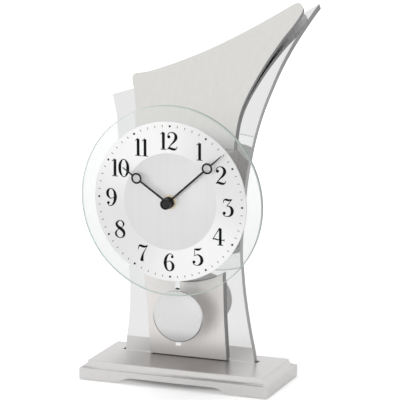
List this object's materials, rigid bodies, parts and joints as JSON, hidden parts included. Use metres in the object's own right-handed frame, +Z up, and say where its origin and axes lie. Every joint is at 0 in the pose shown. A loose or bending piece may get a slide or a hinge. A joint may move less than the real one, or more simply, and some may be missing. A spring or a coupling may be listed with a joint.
{
  "type": "desk pendulum clock",
  "caption": "Modern desk clock: round glass and dial on a curved sail-shaped mirror plate with a brushed front panel, stepped base and a small disc pendulum below the dial.",
  "frame": {"origin": "centre of the base's footprint, on the surface that the clock stands on", "axes": "+X to the viewer's right, +Y to the back of the clock, +Z up"},
  "size_m": [0.205, 0.1815, 0.3824],
  "materials": {
    "silver_lacquer": "silver metallic lacquer",
    "felt": "dark grey felt",
    "steel_screws": "zinc-plated",
    "polished_board": "mirror-polished face, mauve-grey edges",
    "brushed_board": "brushed lengthwise, dark grey edges",
    "spacer_plastic": "moulded",
    "grey_plastic": "painted silver grey",
    "clear_glass": "polished edge",
    "dial_silver": "circular brushing",
    "dial_centre_grey": "brushed upright",
    "print_ink": "printed",
    "pale_brass": "satin",
    "black_lacquer": "black lacquer",
    "black_cap": "polished",
    "movement_black": "moulded",
    "movement_white": "moulded",
    "magnet_grey": "sintered",
    "stator_steel": "punched sheet",
    "copper_coil": "enamelled copper wire",
    "board_green": "circuit board",
    "battery_jacket": "printed jacket",
    "contact_steel": "nickel-plated",
    "black_rubber": "matt",
    "pendulum_silver": "brushed",
    "rod_metal": "pale, satin"
  },
  "bodies": {
    "clock_stand": {"base": "silver_lacquer", "base_feet": "felt", "base_screws": "steel_screws", "panel_screws": "steel_screws", "housing_screws": "steel_screws", "pivot_pin": "steel_screws", "back_plate": "polished_board", "lower_panel": "brushed_board", "upper_panel": "brushed_board", "panel_spacers": "spacer_plastic", "movement_housing": "grey_plastic", "glass_disc": "clear_glass", "dial_disc": "dial_silver", "dial_centre": "dial_centre_grey", "dial_marks": "print_ink", "fixing_nut": "pale_brass", "movement_case": "movement_black", "drive_case": "movement_black", "movement_back": "movement_white", "stator": "stator_steel", "step_coil": "copper_coil", "drive_coil": "copper_coil", "circuit_board": "board_green", "battery": "battery_jacket", "battery_contacts": "contact_steel", "rubber_washer": "black_rubber"},
    "minute_shaft": {"minute_arbor": "pale_brass", "minute_hand": "black_lacquer", "hub_cap": "black_cap"},
    "hour_shaft": {"hour_wheel": "movement_white", "hour_hand": "black_lacquer"},
    "change_gear": {"change_wheel": "movement_white"},
    "setting_shaft": {"setting_knob": "movement_black"},
    "centre_gear": {"centre_wheel": "movement_white"},
    "third_gear": {"third_wheel": "movement_white"},
    "second_gear": {"second_wheel": "pale_brass"},
    "rotor_shaft": {"rotor": "magnet_grey"},
    "pendulum": {"pendulum_hanger": "movement_white", "drive_magnet": "magnet_grey", "pendulum_rod": "rod_metal", "pendulum_disc": "pendulum_silver", "disc_clip": "rod_metal"},
    "cover": {"rear_cover": "grey_plastic"}
  },
  "joints": [
    {"name": "minute_turn", "type": "hinge", "parent": "clock_stand", "child": "minute_shaft", "pos_m": [0, -0.03, 0.1955], "axis": [0, 1, 0], "continuous": true},
    {"name": "hour_turn", "type": "hinge", "parent": "clock_stand", "child": "hour_shaft", "pos_m": [0, -0.03, 0.1955], "axis": [0, 1, 0], "continuous": true},
    {"name": "change_turn", "type": "hinge", "parent": "clock_stand", "child": "change_gear", "pos_m": [-0.0096, -0.03, 0.1955], "axis": [0, 1, 0], "continuous": true},
    {"name": "setting_turn", "type": "hinge", "parent": "clock_stand", "child": "setting_shaft", "pos_m": [-0.0192, -0.03, 0.1955], "axis": [0, 1, 0], "continuous": true},
    {"name": "second_turn", "type": "hinge", "parent": "clock_stand", "child": "second_gear", "pos_m": [0.01278, -0.03, 0.20173], "axis": [0, 1, 0], "continuous": true},
    {"name": "third_turn", "type": "hinge", "parent": "clock_stand", "child": "third_gear", "pos_m": [0.00918, -0.03, 0.1955], "axis": [0, 1, 0], "continuous": true},
    {"name": "centre_turn", "type": "hinge", "parent": "clock_stand", "child": "centre_gear", "pos_m": [0, -0.03, 0.1955], "axis": [0, 1, 0], "continuous": true},
    {"name": "rotor_turn", "type": "hinge", "parent": "clock_stand", "child": "rotor_shaft", "pos_m": [0.01955, -0.03, 0.19927], "axis": [0, 1, 0], "continuous": true},
    {"name": "pendulum_swing", "type": "hinge", "parent": "clock_stand", "child": "pendulum", "pos_m": [0, -0.0277, 0.1655], "axis": [0, 1, 0], "range_deg": [-4.5, 4.5]},
    {"name": "cover_pull", "type": "slide", "parent": "clock_stand", "child": "cover", "axis": [0, 1, 0], "range_m": [0, 0.03]}
  ],
  "couplings": [
    {"joint": "hour_turn", "follows": "minute_turn", "ratio": 0.083333},
    {"joint": "change_turn", "follows": "minute_turn", "ratio": -0.33333},
    {"joint": "setting_turn", "follows": "minute_turn", "ratio": 1},
    {"joint": "third_turn", "follows": "second_turn", "ratio": -0.125},
    {"joint": "centre_turn", "follows": "second_turn", "ratio": 0.016667}
  ]
}
